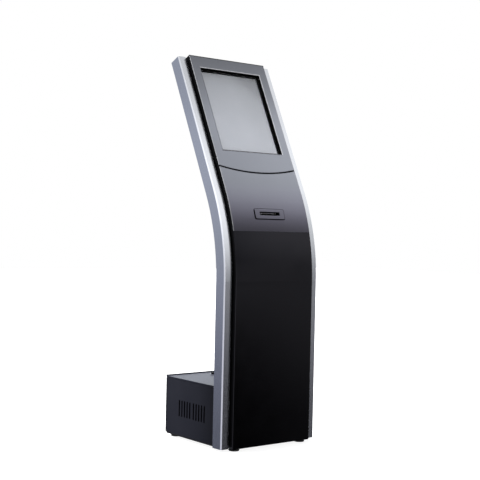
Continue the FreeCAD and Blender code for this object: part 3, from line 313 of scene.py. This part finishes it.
class Shader(Nodes):
    """A material on the principled shader."""

    def __init__(self, name):
        self.material = bpy.data.materials.new(name)
        self.material.use_nodes = True
        super().__init__(self.material.node_tree)
        self.surface = self.tree.nodes["Principled BSDF"]

    def set(self, **values):
        """Plain values on the principled shader, with underscores for spaces."""
        for key, value in values.items():
            self.surface.inputs[key.replace("_", " ")].default_value = value

    def place(self):
        """Position in the row frame."""
        return self.node("ShaderNodeTexCoord").outputs["Object"]

    def finish(self, colour=None, roughness=None, normal=None):
        """Link what varies to the principled shader."""
        for key, value in (("Base Color", colour), ("Roughness", roughness), ("Normal", normal)):
            if value is not None:
                self.link(value, self.surface.inputs[key])
        return self.material

    def seam_painted_shadow(self, x, station):
        """1 on the painted shadow line along the curved joint's bevels, 0 elsewhere."""
        drop = self.math("SUBTRACT", SEAM_STATION + SEAM_RADIUS, station)
        from_centre = self.math("SQRT", self.math("MULTIPLY_ADD", drop, drop, self.math("MULTIPLY", x, x)))
        off_seam = self.math("ABSOLUTE", self.math("SUBTRACT", from_centre, SEAM_RADIUS))
        return self.spread(off_seam, 1.0, 0.0, (SEAM_HALF_GAP + RIM_FULL, SEAM_HALF_GAP + RIM))

    def panel_rim(self, line):
        """Share of painted edge light and shade around the panels' sides, the screen's opening and the
        curved joint.

        The second value is 1 where the edge gets a painted highlight: on the panels' left side, and on the
        right and the top of the opening; elsewhere the edge gets painted shade.
        """
        x, _, station = self.split(line)
        aside = self.math("ABSOLUTE", x)
        side = self.math("SUBTRACT", PANEL_HALF, aside)
        upward = self.math("SUBTRACT", station, OPENING_MIDDLE)
        across = self.math("SUBTRACT", aside, OPENING_HALF.x)
        along = self.math("SUBTRACT", self.math("ABSOLUTE", upward), OPENING_HALF.z)
        opening = self.math("ABSOLUTE", self.math("MAXIMUM", across, along))
        nearest = self.math("MINIMUM", side, self.math("MULTIPLY", opening, RIM / OPENING_RIM))
        painted_rim_breakup = self.spread(self.noise(line, 90.0, 3.0), 0.7, 1.1)
        share = self.math("MULTIPLY", self.spread(nearest, 1.0, 0.0, (RIM_FULL, RIM)), painted_rim_breakup)
        seam = self.seam_painted_shadow(x, station)
        share = self.math("MAXIMUM", share, seam)
        corner = self.math("MULTIPLY_ADD", upward, OPENING_HALF.x / OPENING_HALF.z, x)
        facing = self.spread(corner, 0.0, 1.0, (-CORNER_TURN, CORNER_TURN))
        at_side = self.math("LESS_THAN", side, RIM)
        on_left = self.math("LESS_THAN", x, 0.0)
        turned = self.math("SUBTRACT", on_left, facing)
        lit = self.math("MULTIPLY_ADD", at_side, turned, facing)
        return share, self.math("MULTIPLY", lit, self.math("SUBTRACT", 1.0, seam))

    def along_rails(self):
        """Position that follows the bend: (x, depth, station)."""
        x, y, z = self.split(self.place())
        back = self.math("SUBTRACT", BEND_CENTRE.y, y)
        rise = self.math("SUBTRACT", z, BEND_CENTRE.z)
        lean = self.clamp(self.math("ARCTAN2", rise, back), 0.0, BEND_ANGLE)
        cosine = self.math("COSINE", lean)
        sine = self.math("SINE", lean)
        radial = self.math("ADD", self.math("MULTIPLY", back, cosine), self.math("MULTIPLY", rise, sine))
        onward = self.math("MULTIPLY", rise, cosine)
        onward = self.math("SUBTRACT", onward, self.math("MULTIPLY", back, sine))
        depth = self.math("SUBTRACT", BEND_RADIUS, radial)
        station = self.math("ADD", self.math("MULTIPLY_ADD", lean, BEND_RADIUS, BEND_CENTRE.z), onward)
        return self.join(x, depth, station)


# ---- materials -----------------------------------------------------------------------------
def brushed_rail():
    """Satin anodised aluminium, drawn lengthways, with painted shade that darkens it towards the top."""
    s = Shader("rail_satin_aluminium")
    line = s.along_rails()
    streaks = s.noise(s.times(line, (1.0, 1.0, 0.012)), 1600.0, 4.0, 0.65)
    smudge = s.noise(line, 9.0, 3.0)
    colour = s.blend(s.spread(streaks, 0.0, 1.0), (0.60, 0.62, 0.66), (0.66, 0.68, 0.72))
    station = s.split(line)[2]
    # Painted shade: darker towards the top; lower down the rails are also tinted bluer.
    colour = s.times(colour, s.curve(station, RAIL_PAINTED_SHADE))
    height = s.spread(station, 0.0, 1.0, (0.35, 0.80))
    colour = s.times(colour, s.blend(height, (1.0, 0.985, 1.06), (1.0, 1.0, 1.0)))
    rough = s.math("ADD", s.spread(streaks, 0.19, 0.26), s.spread(smudge, -0.02, 0.02))
    s.set(Metallic=1.0)
    return s.finish(colour, rough, s.bump(streaks, 0.12, 0.00008))


def grey_panel():
    """Grey metallic lacquer with fine flake; painted shade darkens it towards the colour break and the top.
    """
    s = Shader("panel_grey_lacquer")
    line = s.along_rails()
    flake = s.split(s.cells(line, 2600.0, output="Color"))[0]
    drift = s.noise(line, 4.0, 2.0)
    peel = s.noise(line, 420.0, 2.0)
    station = s.split(line)[2]
    # Painted shade by station; lower down the lacquer is also tinted more purple.
    painted_shade = s.curve(station, PANEL_PAINTED_SHADE)
    tone = s.blend(s.spread(drift, 0.0, 1.0), (0.277, 0.282, 0.330), (0.297, 0.302, 0.350))
    tone = s.times(tone, painted_shade)
    height = s.spread(station, 0.0, 1.0, (0.79, 0.98))
    tone = s.times(tone, s.blend(height, (1.02, 0.955, 1.10), (0.985, 1.02, 1.0)))
    colour = s.blend(s.spread(flake, 0.0, 0.12, (0.4, 1.0)), tone, (0.42, 0.43, 0.46))
    # Painted highlight and painted shade on the panels' edges, and a painted shadow line along the curved
    # joint.
    rim, lit = s.panel_rim(line)
    colour = s.blend(rim, colour, s.blend(lit, (0.06, 0.06, 0.07), (0.72, 0.73, 0.76)))
    s.set(Metallic=0.0, Specular_IOR_Level=0.2)
    return s.finish(colour, s.spread(flake, 0.38, 0.46, (0.0, 1.0)), s.bump(peel, 0.05, 0.00006))


def black_gloss():
    """Deep black panel with a polished surface and faint smudges."""
    s = Shader("panel_black_gloss")
    line = s.along_rails()
    smudge = s.noise(line, 14.0, 5.0, 0.6)
    wave = s.noise(line, 60.0, 2.0)
    colour = s.blend(s.spread(smudge, 0.0, 1.0), (0.0016, 0.0016, 0.0024), (0.0026, 0.0026, 0.0036))
    s.set(Specular_IOR_Level=0.48)
    # Painted shade on the reflections: the panel mirrors least on its upper left.
    x, _, station = s.split(line)
    towards_left = s.spread(x, 1.0, 0.0, (-0.17, 0.17))
    upper = s.math("MULTIPLY", s.spread(station, 0.0, 1.0, (0.58, 0.68)), towards_left)
    tint = s.blend(upper, (0.86, 0.84, 1.0), (0.23, 0.23, 0.30))
    s.link(tint, s.surface.inputs["Specular Tint"])
    return s.finish(colour, s.spread(smudge, 0.10, 0.16), s.bump(wave, 0.015, 0.0001))


def powder_coat(name, dark, light, shine=0.5, painted_shade=None):
    """Fine-textured powder coat on steel; painted shade may change its tone from front to rear."""
    s = Shader(name)
    s.set(Specular_IOR_Level=shine)
    place = s.place()
    pebble = s.noise(place, 2200.0, 2.0)
    drift = s.noise(place, 7.0, 3.0)
    colour = s.blend(s.spread(drift, 0.0, 1.0), dark, light)
    # Painted shade from front to rear.
    if painted_shade is not None:
        colour = s.times(colour, s.curve(s.split(place)[1], painted_shade))
    return s.finish(colour, s.spread(pebble, 0.42, 0.56), s.bump(pebble, 0.35, 0.00012))


def zinc(name, tone):
    """Bright zinc-plated or drawn steel with a soft spangle."""
    s = Shader(name)
    place = s.place()
    spangle = s.cells(place, 160.0, output="Color")
    scratch = s.noise(s.times(place, (1.0, 0.05, 1.0)), 900.0, 3.0)
    low = tuple(c * 0.82 for c in tone)
    colour = s.blend(s.spread(s.split(spangle)[0], 0.0, 1.0, (0.0, 1.0)), low, tone)
    s.set(Metallic=1.0)
    return s.finish(colour, s.spread(scratch, 0.26, 0.44), s.bump(scratch, 0.08, 0.00005))


def moulded(name, dark, light, rough=(0.45, 0.6)):
    """Moulded plastic with a fine eroded texture."""
    s = Shader(name)
    place = s.place()
    pebble = s.cells(place, 1500.0)
    drift = s.noise(place, 30.0, 3.0)
    colour = s.blend(s.spread(drift, 0.0, 1.0), dark, light)
    return s.finish(colour, s.spread(drift, rough[0], rough[1]), s.bump(pebble, 0.12, 0.00006))


def recess_black():
    """Deep matt black of the walls around the screen, the ticket's throat and what lies behind gaps; darker
    and duller than the other black plastic, it also stands in for the shade in these recesses and gaps.
    """
    s = Shader("recess_matt_black")
    place = s.place()
    grain = s.noise(place, 1800.0, 3.0)
    drift = s.noise(place, 25.0, 3.0)
    colour = s.blend(s.spread(drift, 0.0, 1.0), (0.0025, 0.0025, 0.003), (0.005, 0.005, 0.0055))
    s.set(Specular_IOR_Level=0.05)
    return s.finish(colour, s.spread(grain, 0.75, 0.9), s.bump(grain, 0.2, 0.00008))


def rubber():
    """Soft black rubber, a little dusty."""
    s = Shader("soft_rubber")
    place = s.place()
    dust = s.noise(place, 45.0, 4.0)
    colour = s.blend(s.spread(dust, 0.0, 1.0), (0.012, 0.012, 0.012), (0.028, 0.028, 0.027))
    grain = s.noise(place, 1800.0, 2.0)
    return s.finish(colour, s.spread(dust, 0.62, 0.82), s.bump(grain, 0.2, 0.00008))


def glass():
    """Clear touch glass with a faint tint and light fingerprints in its roughness."""
    s = Shader("touch_glass_clear")
    place = s.place()
    prints = s.noise(place, 22.0, 4.0, 0.6)
    colour = s.blend(s.spread(prints, 0.0, 1.0), (0.93, 0.95, 0.96), (0.97, 0.98, 0.985))
    s.set(Transmission_Weight=1.0, IOR=1.46)
    return s.finish(colour, s.spread(prints, 0.0, 0.06, (0.45, 0.8)))


def display():
    """Unlit display: pale grey, with painted shade that darkens it towards its upper right corner."""
    s = Shader("display_unlit")
    line = s.along_rails()
    x, _, station = s.split(line)
    climb = s.math("ADD", station, s.math("MAXIMUM", x, 0.0))
    mottled = s.noise(line, 5.0, 2.0)
    # Painted shade: the level falls towards the top and the upper right.
    level = s.math("ADD", s.curve(climb, DISPLAY_PAINTED_SHADE), s.spread(mottled, -0.012, 0.012))
    colour = s.times(s.join(level, level, level), (0.975, 1.0, 1.09))
    pixels = s.noise(line, 3000.0, 0.0)
    s.set(Specular_IOR_Level=0.3)
    return s.finish(colour, s.spread(pixels, 0.5, 0.6), s.bump(pixels, 0.03, 0.00004))


def circuit_board():
    """Green board with a web of traces."""
    s = Shader("board_green")
    place = s.place()
    traces = s.cells(place, 220.0, "DISTANCE_TO_EDGE")
    line = s.spread(traces, 1.0, 0.0, (0.0, 0.12))
    colour = s.blend(line, (0.010, 0.085, 0.035), (0.030, 0.19, 0.085))
    return s.finish(colour, s.spread(traces, 0.32, 0.45, (0.0, 0.5)), s.bump(line, 0.2, 0.00006))


def paper():
    """Rolled thermal paper: fine layers on its ends, a soft tooth outside."""
    s = Shader("paper_thermal")
    low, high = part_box("paper_roll")
    middle = (low + high) / 2
    x, y, z = s.split(s.place())
    radius = s.math("SQRT", s.math(
        "ADD",
        s.math("POWER", s.math("SUBTRACT", y, middle.y), 2.0),
        s.math("POWER", s.math("SUBTRACT", z, middle.z), 2.0),
    ))
    layers = s.noise(s.join(radius, 0.0, 0.0), 2200.0, 2.0)
    colour = s.blend(s.spread(layers, 0.0, 1.0), (0.78, 0.77, 0.74), (0.90, 0.895, 0.87))
    tooth = s.noise(s.place(), 1400.0, 2.0)
    return s.finish(colour, s.spread(tooth, 0.55, 0.7), s.bump(layers, 0.15, 0.00008))


def chrome():
    """Chrome plating of the locks, with a faint haze."""
    s = Shader("lock_chrome_plate")
    place = s.place()
    haze = s.noise(place, 80.0, 4.0)
    colour = s.blend(s.spread(haze, 0.0, 1.0), (0.62, 0.63, 0.65), (0.78, 0.79, 0.81))
    s.set(Metallic=1.0)
    return s.finish(colour, s.spread(haze, 0.08, 0.2), s.bump(haze, 0.02, 0.00003))


def dress_nodes():
    """Give every node its material, by its material slot in the record, and return all of them."""
    finishes = {
        "rail_aluminium": brushed_rail(),
        "grey_panel": grey_panel(),
        "black_panel": black_gloss(),
        "black_metal": powder_coat(
            "frame_black_coat", (0.002, 0.002, 0.0024), (0.004, 0.004, 0.005), shine=0.08),
        "box_steel": powder_coat(
            "box_charcoal_coat", (0.020, 0.021, 0.030), (0.026, 0.027, 0.037), shine=0.16, painted_shade=BOX_PAINTED_SHADE),
        "plate_steel": powder_coat("plate_black_coat", (0.018, 0.018, 0.020), (0.028, 0.028, 0.030)),
        "zinc_steel": zinc("steel_zinc_plated", (0.60, 0.61, 0.62)),
        "bright_steel": zinc("steel_ground", (0.72, 0.72, 0.73)),
        "black_plastic": moulded("plastic_black", (0.010, 0.010, 0.011), (0.018, 0.018, 0.019)),
        "foot_plastic": moulded("plastic_foot", (0.014, 0.014, 0.014), (0.028, 0.028, 0.027), (0.5, 0.7)),
        "rubber": rubber(),
        "screen_glass": glass(),
        "display": display(),
        "paper": paper(),
        "circuit_board": circuit_board(),
        "lock_chrome": chrome(),
    }
    for entry in frame["record"]["subparts"]:
        node = frame["nodes"][entry["node"]]
        node.data.materials.clear()
        node.data.materials.append(finishes[entry["material_slot"]])
    finishes["matt_black"] = recess_black()
    for name in MATT_BLACK:
        frame["nodes"][name].data.materials[0] = finishes["matt_black"]
    for name in NO_SHADOW:
        frame["nodes"][name].visible_shadow = False
    return finishes


# ---- extra pieces --------------------------------------------------------------------------
def head_frame():
    """Matrix of the leaning head: X across, Y into the kiosk, Z up the slope, at the display's centre."""
    low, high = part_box("lcd_panel")
    return Matrix.Translation((low + high) / 2) @ Matrix.Rotation(-BEND_ANGLE, 4, "X")


def bend_frame(lean, x=0.0):
    """Matrix with axes like head_frame's, at a lean of the bend, on the rails' front line."""
    out = Vector((0.0, -math.cos(lean), math.sin(lean)))
    place = BEND_CENTRE + BEND_RADIUS * out + Vector((x, 0.0, 0.0))
    return Matrix.Translation(place) @ Matrix.Rotation(-lean, 4, "X")


def mouth_frame():
    """Matrix of the ticket mouth."""
    return bend_frame((MOUTH_STATION - BEND_START) / PANEL_RADIUS, MOUTH_X)


def add_piece(name, points, faces, placing, material, slot):
    """New mesh that rides on the cabinet, from points in a local frame."""
    mesh = bpy.data.meshes.new(name)
    mesh.from_pydata(points, [], faces)
    mesh.transform(placing)
    mesh.materials.append(material)
    piece = bpy.data.objects.new(name, mesh)
    bpy.context.scene.collection.objects.link(piece)
    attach(piece, "cabinet")
    return piece


def loft(rings):
    """Points and faces of a closed solid through rings of the same number of corners."""
    count = len(rings[0])
    points = [corner for ring in rings for corner in ring]
    faces = [tuple(range(count)), tuple(len(points) - 1 - i for i in range(count))]
    for start in range(0, len(points) - count, count):
        for i in range(count):
            j = (i + 1) % count
            faces.append((start + j, start + i, start + count + i, start + count + j))
    return points, faces


def screen_border(material):
    """Thin printed black border just under the glass, around the display's active area."""
    outer_x, outer_z = BORDER_HALF
    inner_x, inner_z = ACTIVE_WIDTH / 2, ACTIVE_HEIGHT / 2
    rings = []
    for y in (BORDER_DEPTH - BORDER_THICK / 2, BORDER_DEPTH + BORDER_THICK / 2):
        for x, low, high in ((outer_x, -outer_z, outer_z), (inner_x, BORDER_BOTTOM - inner_z, inner_z)):
            rings.append([(-x, y, low), (x, y, low), (x, y, high), (-x, y, high)])
    points = [corner for ring in rings for corner in ring]
    faces = []
    for i in range(4):
        j = (i + 1) % 4
        faces.append((i, j, 4 + j, 4 + i))
        faces.append((8 + i, 12 + i, 12 + j, 8 + j))
        faces.append((i, 8 + i, 8 + j, j))
        faces.append((4 + i, 4 + j, 12 + j, 12 + i))
    add_piece("screen_border", points, faces, head_frame(), material, "black_plastic")


def seam_shade_seal(material):
    """Matt black rubber strip behind the curved joint under the screen; it stands in for the shade in the
    gap.
    """
    centre = SEAM_LOW + SEAM_RADIUS
    front, back = SHADE_SEAL_DEPTH
    rings = []
    for i in range(SHADE_SEAL_STEPS + 1):
        x = SHADE_SEAL_HALF * (2 * i / SHADE_SEAL_STEPS - 1)
        low = centre - math.sqrt((SEAM_RADIUS + SHADE_SEAL_WIDTH / 2) ** 2 - x * x)
        high = centre - math.sqrt((SEAM_RADIUS - SHADE_SEAL_WIDTH / 2) ** 2 - x * x)
        rings.append([(x, front, low), (x, back, low), (x, back, high), (x, front, high)])
    add_piece("seam_shade_seal", *loft(rings), bend_frame(BEND_ANGLE), material, "rubber")


def louvre_shade_filter(name, outer_x, material):
    """Pleated dust filter inside a side sheet, behind both groups of louvres; its matt black darkens the
    slots as the shade inside the box would.
    """
    rings = []
    for i in range(2 * PLEATS + 1):
        y = SHADE_FILTER_Y[0] + (SHADE_FILTER_Y[1] - SHADE_FILTER_Y[0]) * i / (2 * PLEATS)
        face = outer_x - math.copysign(SHADE_FILTER_GAP + PLEAT_DEPTH * (i % 2), outer_x)
        back = face - math.copysign(SHADE_FILTER_THICK, outer_x)
        low, high = SHADE_FILTER_Z
        ring = [(face, y, low), (face, y, high), (back, y, high), (back, y, low)]
        rings.append(ring if outer_x > 0 else ring[::-1])
    add_piece(name, *loft(rings), Matrix(), material, "black_plastic")


def rounded_ring(grow, depth):
    """Corners of the ticket frame's outline, grown by a width."""
    half = FLANGE_HALF + grow
    low, high = FLANGE_Z[0] - grow, FLANGE_Z[1] + grow
    radius = FLANGE_CORNER + grow
    corners = ((half, high, 0.0), (-half, high, 90.0), (-half, low, 180.0), (half, low, 270.0))
    ring = []
    for x, z, start in corners:
        centre_x = x - math.copysign(radius, x)
        centre_z = z - math.copysign(radius, z)
        for step in range(CORNER_STEPS + 1):
            angle = math.radians(start + 90.0 * step / CORNER_STEPS)
            ring.append((centre_x + radius * math.cos(angle), depth, centre_z + radius * math.sin(angle)))
    return ring


def bezel_shadow_gasket(material):
    """Thin black rubber around the ticket frame; it stands in for the shadow gap around the frame."""
    front, back = SHADOW_GASKET_DEPTH
    rings = [
        rounded_ring(SHADOW_GASKET_GAP, back), rounded_ring(SHADOW_GASKET_WIDTH, back),
        rounded_ring(SHADOW_GASKET_WIDTH, front), rounded_ring(SHADOW_GASKET_GAP, front),
    ]
    count = len(rings[0])
    points = [corner for ring in rings for corner in ring]
    faces = []
    for k in range(4):
        here, there = count * k, count * ((k + 1) % 4)
        for i in range(count):
            j = (i + 1) % count
            faces.append((here + i, here + j, there + j, there + i))
    return add_piece("bezel_shadow_gasket", points, faces, mouth_frame(), material, "rubber")


def tear_bar(material):
    """Toothed steel edge above the paper's slot, deep in the mouth."""
    rings = []
    for i in range(2 * TEETH + 1):
        x = (i / TEETH - 1) * TEETH * TOOTH_PITCH / 2
        rise = TOOTH_DEPTH * (i % 2)
        front = TEAR_TOP_DEPTH + (TEAR_TOP - TEAR_TIP - rise) * TEAR_SLANT
        rings.append([
            (x, TEAR_TOP_DEPTH, TEAR_TOP),
            (x, front, TEAR_TIP + rise),
            (x, TEAR_BACK, TEAR_TIP + rise + TEAR_HONE),
            (x, TEAR_BACK, TEAR_TOP),
        ])
    add_piece("tear_bar", *loft(rings), mouth_frame(), material, "bright_steel")


def arc(centre, radius, start, end, steps):
    """Points around a centre in the depth and height plane, from one angle to another."""
    angles = [start + (end - start) * i / steps for i in range(steps + 1)]
    return [centre + radius * Vector((0.0, math.cos(angle), math.sin(angle))) for angle in angles]


def paper_path():
    """Line of the paper: off the roll's front, up behind the platen, over it and forward to the cutter."""
    inward = mouth_frame().inverted()
    centres = []
    for name in ("paper_roll", "platen_roller"):
        low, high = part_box(name)
        centres.append(inward @ ((low + high) / 2))
    roll, platen = centres
    roll.x = platen.x = 0.0
    between = platen - roll
    reach = (ROLL_RADIUS + PAPER_CLEAR, PLATEN_RADIUS + PAPER_CLEAR)
    leaving = math.atan2(between.z, between.y) + math.acos(sum(reach) / between.length)
    path = arc(roll, reach[0], leaving + ROLL_WRAP, leaving, ROLL_STEPS)
    path += arc(platen, reach[1], leaving - math.pi, math.pi / 2, PLATEN_STEPS)
    return path + [Vector((0.0, PAPER_END, platen.z + reach[1]))]


def paper_web(material):
    """Strip of paper between the roll and the cutter."""
    path = paper_path()
    rings = []
    for i, point in enumerate(path):
        along = path[min(i + 1, len(path) - 1)] - path[max(i - 1, 0)]
        off = Vector((0.0, along.z, -along.y)).normalized() * PAPER_THICK / 2
        side = Vector((PAPER_HALF, 0.0, 0.0))
        rings.append([point - side - off, point + side - off, point + side + off, point - side + off])
    add_piece("paper_web", *loft(rings), mouth_frame(), material, "paper")


# ---- studio --------------------------------------------------------------------------------
def floor():
    """Pale floor, bright enough to run into the white surroundings."""
    half = FLOOR_HALF
    corners = [(-half, -half, 0), (half, -half, 0), (half, half, 0), (-half, half, 0)]
    mesh = bpy.data.meshes.new("studio_floor")
    mesh.from_pydata(corners, [], [(0, 1, 2, 3)])
    s = Shader("studio_floor_pale")
    speck = s.noise(s.place(), 3.0, 3.0)
    colour = s.blend(s.spread(speck, 0.0, 1.0), (0.27, 0.27, 0.27), (0.29, 0.29, 0.29))
    s.set(Specular_IOR_Level=0.1, Emission_Color=(1.0, 1.0, 1.0, 1.0), Emission_Strength=FLOOR_GLOW)
    mesh.materials.append(s.finish(colour, s.spread(speck, 0.85, 0.95)))
    piece = bpy.data.objects.new("studio_floor", mesh)
    bpy.context.scene.collection.objects.link(piece)
    piece.visible_glossy = False
    piece.visible_diffuse = False


def soft_sun(name, toward, angle, strength):
    """Distant soft light from a direction; it lights, and the surroundings do the reflections."""
    data = bpy.data.lights.new(name, "SUN")
    data.angle = math.radians(angle)
    data.energy = strength
    lamp = bpy.data.objects.new(name, data)
    lamp.rotation_mode = "QUATERNION"
    lamp.rotation_quaternion = Vector(toward).to_track_quat("Z", "Y")
    add_lamp(lamp)


def soft_panel(name, at, look, size, power):
    """Soft rectangular light that points at a place."""
    data = bpy.data.lights.new(name, "AREA")
    data.shape = "RECTANGLE"
    data.size, data.size_y = size
    data.energy = power
    lamp = bpy.data.objects.new(name, data)
    lamp.location = at
    aim = Vector(look) - Vector(at)
    lamp.rotation_mode = "QUATERNION"
    lamp.rotation_quaternion = aim.to_track_quat("-Z", "Y")
    add_lamp(lamp)


def add_lamp(lamp):
    """A lamp lights matt surfaces only: mirrors and gloss see the studio instead."""
    lamp.visible_glossy = False
    lamp.visible_transmission = False
    bpy.context.scene.collection.objects.link(lamp)


def lights():
    for name, toward, angle, strength in SUNS:
        soft_sun(name, toward, angle, strength)
    for name, at, look, size, power in PANELS:
        soft_panel(name, at, look, size, power)


def world():
    """White studio; what it shows to reflections changes with height and with heading."""
    made = bpy.data.worlds.new("studio")
    bpy.context.scene.world = made
    made.use_nodes = True
    made.cycles.sampling_method = "NONE"
    made.node_tree.nodes.clear()
    w = Nodes(made.node_tree)
    ray = w.node("ShaderNodeTexCoord").outputs["Generated"]
    east, north, up = w.split(ray)
    rise = w.math("MULTIPLY", w.math("ARCSINE", up), math.degrees(1.0))
    left = w.curve(rise, [(at, level) for at, level, _ in FRONT_SKY])
    right = w.curve(rise, [(at, level) for at, _, level in FRONT_SKY])
    high = w.math("MAXIMUM", w.math("SUBTRACT", rise, SIDES_TURN[0]), 0.0)
    across = w.spread(w.math("MULTIPLY_ADD", high, SIDES_TURN[1], east), 0.0, 1.0, SIDES)
    shown = w.times(w.blend(across, left, right), SKY_GAIN)
    level = w.node("ShaderNodeVectorMath", operation="NORMALIZE")
    w.link(w.join(east, north, 0.0), level.inputs[0])
    for heading, inner, outer, stops, tint in SKY_PATCHES:
        limits = (math.cos(math.radians(outer)), math.cos(math.radians(inner)))
        share = w.spread(w.dot(level.outputs[0], (*heading, 0.0)), 0.0, 1.0, limits, smooth=True)
        patch = w.times(w.curve(rise, stops), tint)
        shown = w.blend(share, shown, patch)
    path = w.node("ShaderNodeLightPath")
    mirrored = w.math("SUBTRACT", path.outputs["Is Glossy Ray"], path.outputs["Is Transmission Ray"])
    levels = w.blend(mirrored, AMBIENT, shown)
    levels = w.blend(path.outputs["Is Camera Ray"], levels, (1.0, 1.0, 1.0))
    background = w.node("ShaderNodeBackground")
    w.link(levels, background.inputs["Color"])
    output = w.node("ShaderNodeOutputWorld")
    w.link(background.outputs[0], output.inputs["Surface"])


def camera():
    """Camera at the viewing angle of the reference view."""
    yaw, pitch, roll = CAMERA_YAW, CAMERA_PITCH, CAMERA_ROLL
    ahead = Vector((math.sin(yaw) * math.cos(pitch), math.cos(yaw) * math.cos(pitch), math.sin(pitch)))
    right = Vector((math.cos(yaw), -math.sin(yaw), 0.0))
    up = right.cross(ahead)
    tilted_right = right * math.cos(roll) + up * math.sin(roll)
    tilted_up = up * math.cos(roll) - right * math.sin(roll)
    data = bpy.data.cameras.new("camera")
    data.lens = CAMERA_LENS
    data.sensor_width = SENSOR
    piece = bpy.data.objects.new("camera", data)
    axes = Matrix((tilted_right, tilted_up, -ahead)).transposed().to_4x4()
    piece.matrix_world = Matrix.Translation(CAMERA_AT) @ axes
    bpy.context.scene.collection.objects.link(piece)
    bpy.context.scene.camera = piece


camera()
finishes = dress_nodes()
screen_border(finishes["black_plastic"])
matt_black = finishes["matt_black"]
seam_shade_seal(matt_black)
bezel_shadow_gasket(matt_black).visible_shadow = False
louvre_shade_filter("louvre_filter_left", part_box("box_side_left")[0].x, matt_black)
louvre_shade_filter("louvre_filter_right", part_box("box_side_right")[1].x, matt_black)
tear_bar(finishes["bright_steel"])
paper_web(finishes["paper"])
floor()
lights()
world()
bpy.context.scene.view_settings.view_transform = "Standard"
